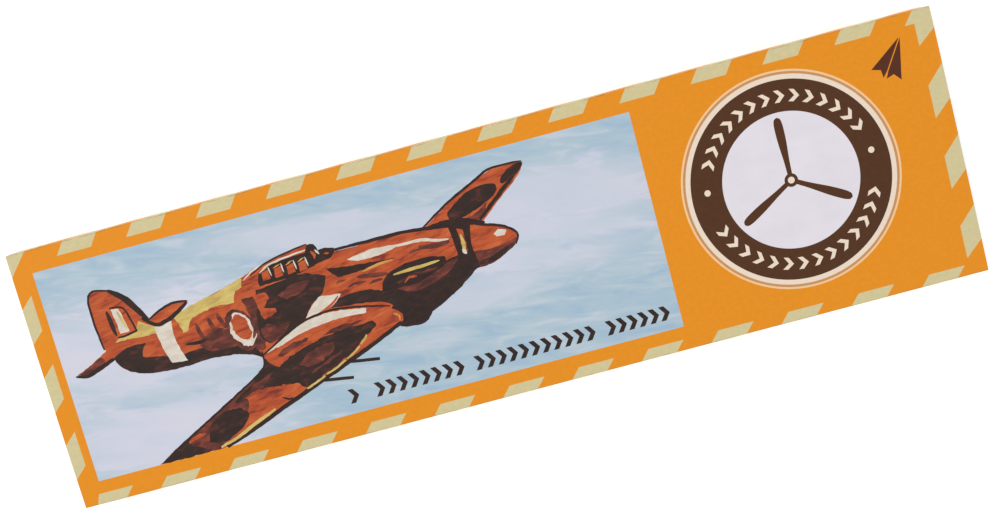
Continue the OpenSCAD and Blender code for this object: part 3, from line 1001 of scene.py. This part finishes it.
def smooth_shaded(mesh):
    """Smooth faces, with edges steeper than 40 degrees kept crisp."""
    mesh.polygons.foreach_set("use_smooth", [True] * len(mesh.polygons))
    mesh.set_sharp_from_angle(angle=radians(40))


def finished(name, built, material):
    """An object from a bmesh in mm."""
    bmesh.ops.transform(built, matrix=Matrix.Scale(MM, 4), verts=built.verts)
    bmesh.ops.recalc_face_normals(built, faces=built.faces)
    mesh = bpy.data.meshes.new(name)
    built.to_mesh(mesh)
    built.free()
    smooth_shaded(mesh)
    mesh.materials.append(material)
    return added(name, mesh)


def bridge(built, pairs):
    """Quads between each pair of closed rings of vertices."""
    for a, b in pairs:
        for i in range(len(a)):
            built.faces.new((a[i - 1], a[i], b[i], b[i - 1]))


def loft(loops):
    """A closed skin through loops of equal length, capped at both ends."""
    built = bmesh.new()
    rings = [[built.verts.new(p) for p in loop] for loop in loops]
    bridge(built, zip(rings, rings[1:]))
    built.faces.new(rings[0][::-1])
    built.faces.new(rings[-1])
    return built


def level(points, x):
    """The height at x of the line through points, which are in order of x."""
    for (x0, y0), (x1, y1) in zip(points, points[1:]):
        if x <= x1:
            return y0 + (y1 - y0) * (x - x0) / (x1 - x0)
    return points[-1][1]


def blade_loops(radius, width, thick):
    """Sections of one blade along +X: a cambered, twisted and thinning blade with a round tip."""
    back = smooth([(0.12, -0.24), (0.3, -0.40), (0.6, -0.54), (0.86, -0.42), (0.96, -0.22), (1, 0.05)], 0.02)
    front = smooth([(0.12, 0.24), (0.45, 0.36), (0.74, 0.46), (0.92, 0.42), (0.985, 0.25), (1, 0.06)], 0.02)
    loops = []
    stations, sides = 22, 20
    for i in range(stations + 1):
        t = 0.12 + 0.875 * sin(pi / 2 * i / stations)
        low, high = level(back, t) * width, level(front, t) * width
        twist = radians(15 - 7 * t)
        depth = thick * (1.15 - 0.6 * t)
        middle, reach = (low + high) / 2, (high - low) / 2
        loop = []
        for k in range(sides):
            a = 2 * pi * k / sides
            across = middle + reach * cos(a)
            up = depth / 2 * sin(a) + 0.12 * sin(a) ** 2
            c, s = cos(twist), sin(twist)
            loop.append(Vector((t * radius, across * c - up * s, across * s + up * c)))
        loops.append(loop)
    return loops


def spun(profile, count=72):
    """A ring from a closed profile of (radius, height)."""
    built = bmesh.new()
    rings = []
    for i in range(count):
        a = 2 * pi * i / count
        rings.append([built.verts.new((r * cos(a), r * sin(a), z)) for r, z in profile])
    bridge(built, zip(rings, rings[1:] + rings[:1]))
    return built


def rounded(corners, radius, steps=4):
    """A closed profile with each corner rounded."""
    out = []
    count = len(corners)
    for i in range(count):
        at = Vector(corners[i])
        before = (Vector(corners[i - 1]) - at).normalized()
        after = (Vector(corners[(i + 1) % count]) - at).normalized()
        for k in range(steps + 1):
            t = k / steps
            out.append(at + before * radius * (1 - t) ** 2 + after * radius * t**2)
    return [tuple(p) for p in out]


def combined(name, first, others, operation="UNION"):
    """The first solid object with the others added or cut away. The others go."""
    for other in others:
        step = first.modifiers.new("combine", "BOOLEAN")
        step.operation = operation
        step.solver = "EXACT"
        step.object = other
    shape = first.evaluated_get(bpy.context.evaluated_depsgraph_get())
    mesh = bpy.data.meshes.new_from_object(shape)
    first.modifiers.clear()
    first.data = mesh
    for other in others:
        bpy.data.objects.remove(other)
    first.name = name
    smooth_shaded(mesh)
    return first


def block_solid(low, high, radius=0.0):
    """A box in mm, with its edges rounded where radius is given."""
    built = bmesh.new()
    bmesh.ops.create_cube(built, size=1.0)
    size = Vector(high) - Vector(low)
    for vert in built.verts:
        vert.co = Vector(low) + Vector((vert.co[i] + 0.5) * size[i] for i in range(3))
    if radius:
        bmesh.ops.bevel(built, geom=list(built.edges), offset=radius, segments=4, profile=0.5, affect="EDGES")
    return finished("block", built, PLASTIC)


def round_solid(start, length, radius, end_radius=None, count=48):
    """A round bar or cone along +X from start, in mm."""
    loops = []
    for x, r in ((0, radius), (length, radius if end_radius is None else end_radius)):
        turns = [2 * pi * i / count for i in range(count)]
        loops.append([Vector(start) + Vector((x, r * cos(a), r * sin(a))) for a in turns])
    return finished("bar", loft(loops), PLASTIC)


PLASTIC = moulded_plastic()


def propeller_moulding():
    """The hub ring and its three blades, about the axis of the spin joint."""
    spin = next(joint for joint in frame["joints"] if joint["name"] == "propeller_spin")
    axis = corner(spin["pos_m"])
    bush_foot = corner(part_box("hub_bush")[0])[2]
    top = corner(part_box("propeller")[1])[2]
    flange = 0.4
    foot = bush_foot + flange + 0.05  # just clear of the bush's flange
    bore, hub_radius = 1.4, 3.7
    ring = rounded([(bore, foot), (hub_radius, foot), (hub_radius, top), (bore, top)], 0.25)
    hub = finished("hub", spun(ring), PLASTIC)
    tip = 22.5
    blade_width, blade_depth = 6.2, 0.75
    middle = bush_foot + 0.93
    blades = []
    for i in range(3):
        blade = finished("blade", loft(blade_loops(tip, blade_width, blade_depth)), PLASTIC)
        turn = Matrix.Rotation(radians(100 + 120 * i), 4, "Z")
        blade.data.transform(Matrix.Translation((0, 0, middle * MM)) @ turn)
        blades.append(blade)
    whole = combined("propeller_moulding", hub, blades)
    whole.data.transform(Matrix.Translation((axis[0] * MM, axis[1] * MM, 0)))
    return whole


def nose_clip_moulding():
    """A block with rounded edges and a socket for the fuselage, and a cone that holds the pin."""
    low, high = (Vector(corner(p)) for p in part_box("nose_clip"))
    slug_low, slug_high = (Vector(corner(p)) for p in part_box("ballast_slug"))
    pin_low, pin_high = (Vector(corner(p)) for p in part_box("axle_pin"))
    middle = (low + high) / 2
    boss_length, boss_radius, boss_end = 6, 2.15, 1.6
    shoulder = high.x - boss_length
    overlap, ease = 0.8, 0.1  # of solids that are joined, and of bores past the ends of what they hold
    body = block_solid(low, (shoulder, high.y, high.z), 0.55)
    boss_start = (shoulder - overlap, middle.y, middle.z)
    boss = round_solid(boss_start, boss_length + overlap, boss_radius, boss_end)
    body = combined("nose_clip_moulding", body, [boss])
    socket = Vector((slug_low.x, 1.3, 2.435))
    hole_low = (low.x - 1, middle.y - socket.y, middle.z - socket.z)
    hole = block_solid(hole_low, (socket.x, middle.y + socket.y, middle.z + socket.z))
    bore_start = (slug_low.x - ease, middle.y, middle.z)
    slug_bore = round_solid(bore_start, slug_high.x - slug_low.x + ease, (slug_high.y - slug_low.y) / 2)
    pin_bore = round_solid((slug_high.x - ease, middle.y, middle.z), 10, (pin_high.y - pin_low.y) / 2)
    return combined("nose_clip_moulding", body, [hole, slug_bore, pin_bore], "DIFFERENCE")


propeller = propeller_moulding()
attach(propeller, "propeller")
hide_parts("propeller")
clip = nose_clip_moulding()
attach(clip, "nose_clip")
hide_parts("nose_clip")

# ---- materials of the CAD pieces

FINISHES = {
    "moulding": PLASTIC,
    "steel": metal("drawn_steel", srgb(196, 198, 202), 0.3),
    "brass": metal("turned_brass", srgb(214, 176, 96), 0.3),
    "bare_card": INSIDE,
    "printed_card": INKS["orange"],
    "back_card": INKS["orange"],
}
MARKED = {
    "wing": wing_markings,
    "fuselage": fuselage_markings,
    "tailplane": tailplane_markings,
    "fin": fin_markings,
}
for part in frame["record"]["subparts"]:
    name = part["node"]
    piece = frame["nodes"][name]
    piece.data.materials.clear()
    if name in MARKED:
        piece.data.materials.append(balsa_wood(name, MARKED[name]))
    else:
        piece.data.materials.append(FINISHES[part["material_slot"]])

# ---- floor and light


def floor():
    mesh = bpy.data.meshes.new("floor")
    reach = 3.0
    corners = [(-reach, -reach, 0), (reach, -reach, 0), (reach, reach, 0), (-reach, reach, 0)]
    mesh.from_pydata(corners, [], [(0, 1, 2, 3)])
    mat = Material("floor", 0.9, 0.1)
    mat.colour((0.97, 0.97, 0.97, 1))
    mat.put(mat.shader, "Emission Color", (1, 1, 1, 1))
    mat.put(mat.shader, "Emission Strength", 0.22)
    mesh.materials.append(mat.made)
    added("floor", mesh)


def area_light(name, place, size, power):
    data = bpy.data.lights.new(name, "AREA")
    data.shape = "DISK"
    data.size = size
    data.energy = power
    light = added(name, data)
    light.location = place
    light.rotation_euler = (-Vector(place)).to_track_quat("-Z", "Y").to_euler()


floor()
area_light("key_light", (-0.45, 0.35, 1.0), 0.8, 3.9)
area_light("fill_light", (0.6, -0.5, 0.8), 0.9, 1.1)
world = bpy.data.worlds.new("studio")
world.use_nodes = True
world.node_tree.nodes["Background"].inputs["Color"].default_value = (1, 1, 1, 1)
world.node_tree.nodes["Background"].inputs["Strength"].default_value = 0.92
bpy.context.scene.world = world
bpy.context.scene.view_settings.view_transform = "Standard"
